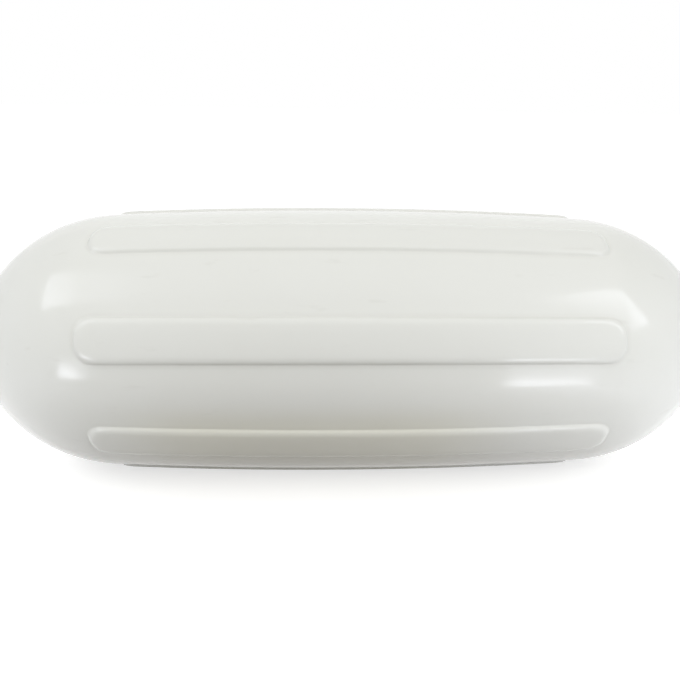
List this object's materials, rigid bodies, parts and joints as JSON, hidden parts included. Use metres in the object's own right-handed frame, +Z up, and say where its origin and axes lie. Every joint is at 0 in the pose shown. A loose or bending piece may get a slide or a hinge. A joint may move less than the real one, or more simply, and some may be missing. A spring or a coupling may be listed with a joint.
{
  "type": "boat fender",
  "caption": "Inflatable moulded vinyl boat fender: a rounded roll with raised lengthwise rubbing pads, a rope eye moulded on each end, and a needle valve.",
  "frame": {"origin": "bottom centre of the part: on the flattened belly, under the middle of the roll", "axes": "+X along the roll, away from the valve end; +Z up, as the fender lies on a deck; +Y towards the back"},
  "size_m": [0.5596, 0.165, 0.164],
  "materials": {
    "vinyl": "off-white soft vinyl, smooth and satin-glossy",
    "valve_rubber": "dark soft rubber, matt"
  },
  "bodies": {
    "root": {"fender_body": "vinyl", "inflation_valve": "valve_rubber"}
  },
  "joints": []
}
